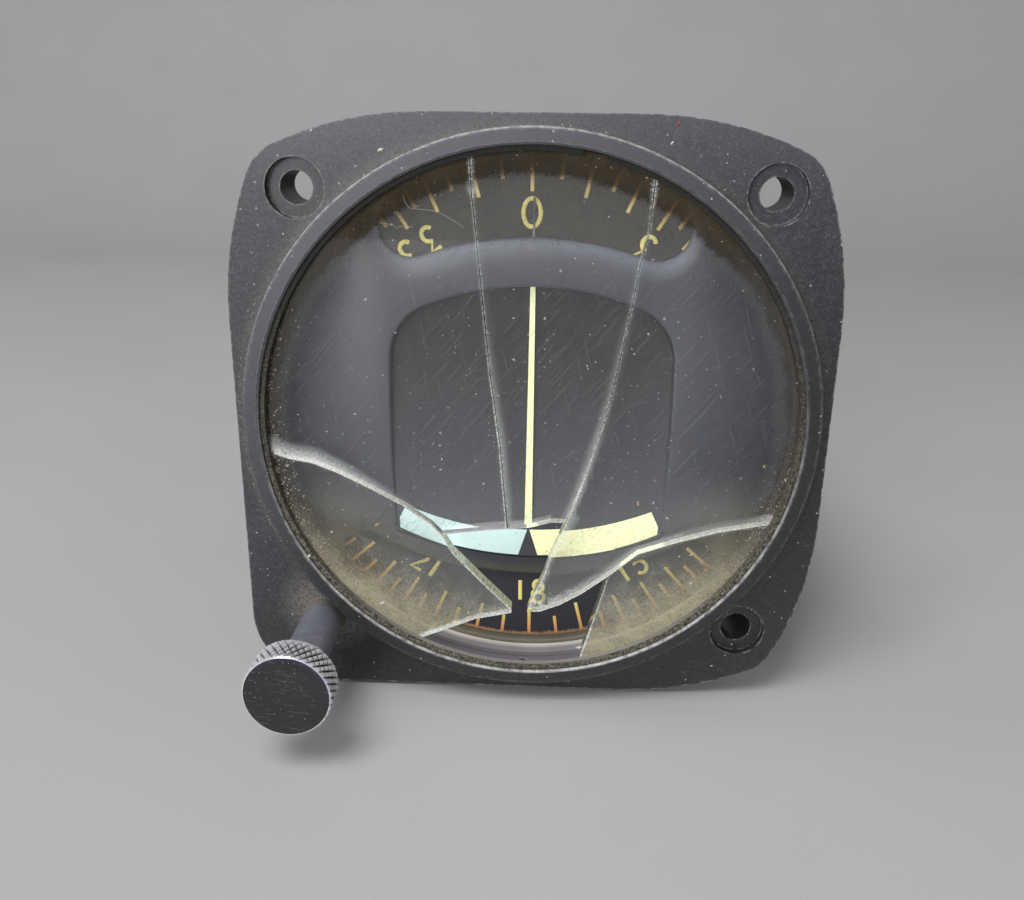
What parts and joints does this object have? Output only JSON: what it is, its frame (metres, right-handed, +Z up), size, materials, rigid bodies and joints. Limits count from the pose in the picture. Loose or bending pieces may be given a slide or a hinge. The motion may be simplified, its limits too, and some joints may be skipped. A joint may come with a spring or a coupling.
{
  "type": "navigation course indicator",
  "caption": "Panel instrument with a cracked round glass, a pointer over blue and yellow sectors, a rotating azimuth card, a square flange and a knurled corner knob.",
  "frame": {"origin": "on the instrument axis, in the plane of the flange's rear face, where the case starts", "axes": "+X to the viewer's right as the dial is read, +Y back into the case along the instrument axis, +Z up; the dial faces -Y"},
  "size_m": [0.083, 0.1315, 0.0834],
  "materials": {
    "cast_black_paint": "worn satin black over die-cast alloy",
    "case_black_paint": "satin black on drawn aluminium",
    "spring_steel": "dark spring steel",
    "cover_glass": "dusty cracked flat glass",
    "black_rubber": "matte",
    "grey_spacer_paint": "matte dark grey",
    "slate_mask": "matte slate moulding",
    "sector_colours": "flat printed colour, blue to the left and yellow to the right",
    "index_paint": "pale paint",
    "card_black_paint": "matte black with a printed yellow scale",
    "gear_brass": "machined",
    "bearing_bronze": "reamed",
    "frame_aluminium": "machined satin",
    "knob_aluminium": "bright knurled rim, black anodised face",
    "black_anodised": "turned and black anodised",
    "screw_steel": "plated",
    "magnet_alloy": "ground cast magnet alloy",
    "soft_iron": "turned soft iron",
    "bearing_steel": "polished",
    "copper_winding": "varnished copper wire",
    "needle_paint": "matte yellow-green paint",
    "jewel_red": "polished ruby",
    "spring_bronze": "rolled strip",
    "connector_alloy": "dull plated",
    "connector_insulator": "moulded",
    "contact_gold": "gold plated"
  },
  "bodies": {
    "frame": {"bezel_flange": "cast_black_paint", "pinion_cover": "cast_black_paint", "case_body": "case_black_paint", "rear_cover": "case_black_paint", "retaining_ring": "spring_steel", "card_keeper": "spring_steel", "cover_glass": "cover_glass", "glass_gasket": "black_rubber", "case_seal": "black_rubber", "glass_spacer": "grey_spacer_paint", "dial_mask": "slate_mask", "course_sectors": "sector_colours", "lubber_line": "index_paint", "bearing_sleeve": "gear_brass", "core_bracket": "gear_brass", "front_bridge": "gear_brass", "rear_bridge": "gear_brass", "zero_lever": "gear_brass", "shaft_bushing": "bearing_bronze", "idler_bushings": "bearing_bronze", "front_plate": "frame_aluminium", "mid_plate": "frame_aluminium", "front_posts": "frame_aluminium", "rear_posts": "frame_aluminium", "plate_lock_ring": "frame_aluminium", "resolver_case": "frame_aluminium", "resolver_cleats": "frame_aluminium", "pinion_cover_screws": "screw_steel", "cleat_screws": "screw_steel", "bridge_screws": "screw_steel", "cover_screws": "screw_steel", "connector_screws": "screw_steel", "field_magnet": "magnet_alloy", "pole_pieces": "soft_iron", "iron_core": "soft_iron", "resolver_bearings": "bearing_steel", "resolver_stator": "copper_winding", "jewel_bearings": "jewel_red", "hair_springs": "spring_bronze", "connector_shell": "connector_alloy", "connector_insert": "connector_insulator", "connector_pins": "contact_gold", "resolver_terminals": "contact_gold"},
    "azimuth_card": {"azimuth_card": "card_black_paint", "card_gear": "gear_brass"},
    "selector": {"obs_knob": "knob_aluminium", "knob_set_screw": "screw_steel", "obs_shaft": "black_anodised", "obs_pinion": "gear_brass"},
    "idler": {"idler_cluster": "gear_brass"},
    "resolver_drive": {"resolver_gear": "gear_brass", "gear_set_screw": "screw_steel", "resolver_rotor": "soft_iron"},
    "needle": {"course_needle": "needle_paint", "coil_staff": "bearing_steel", "moving_coil": "copper_winding", "balance_weights": "gear_brass"}
  },
  "joints": [
    {"name": "card_spin", "type": "hinge", "parent": "frame", "child": "azimuth_card", "pos_m": [0, -0.002, 0], "axis": [0, 1, 0], "continuous": true},
    {"name": "selector_spin", "type": "hinge", "parent": "frame", "child": "selector", "pos_m": [-0.03053, -0.02, -0.03134], "axis": [0, 1, 0], "continuous": true},
    {"name": "idler_spin", "type": "hinge", "parent": "frame", "child": "idler", "pos_m": [0.0181, 0.005, -0.00909], "axis": [0, 1, 0], "continuous": true},
    {"name": "resolver_spin", "type": "hinge", "parent": "frame", "child": "resolver_drive", "pos_m": [0, 0.03, -0.014], "axis": [0, 1, 0], "continuous": true},
    {"name": "needle_swing", "type": "hinge", "parent": "frame", "child": "needle", "pos_m": [0, 0.01, 0.021], "axis": [0, 1, 0], "range_deg": [-22, 22], "stiffness_Nm_per_rad": 0.0001}
  ],
  "couplings": [
    {"joint": "selector_spin", "follows": "card_spin", "ratio": -4.8333},
    {"joint": "idler_spin", "follows": "card_spin", "ratio": 4},
    {"joint": "resolver_spin", "follows": "card_spin", "ratio": -1}
  ]
}
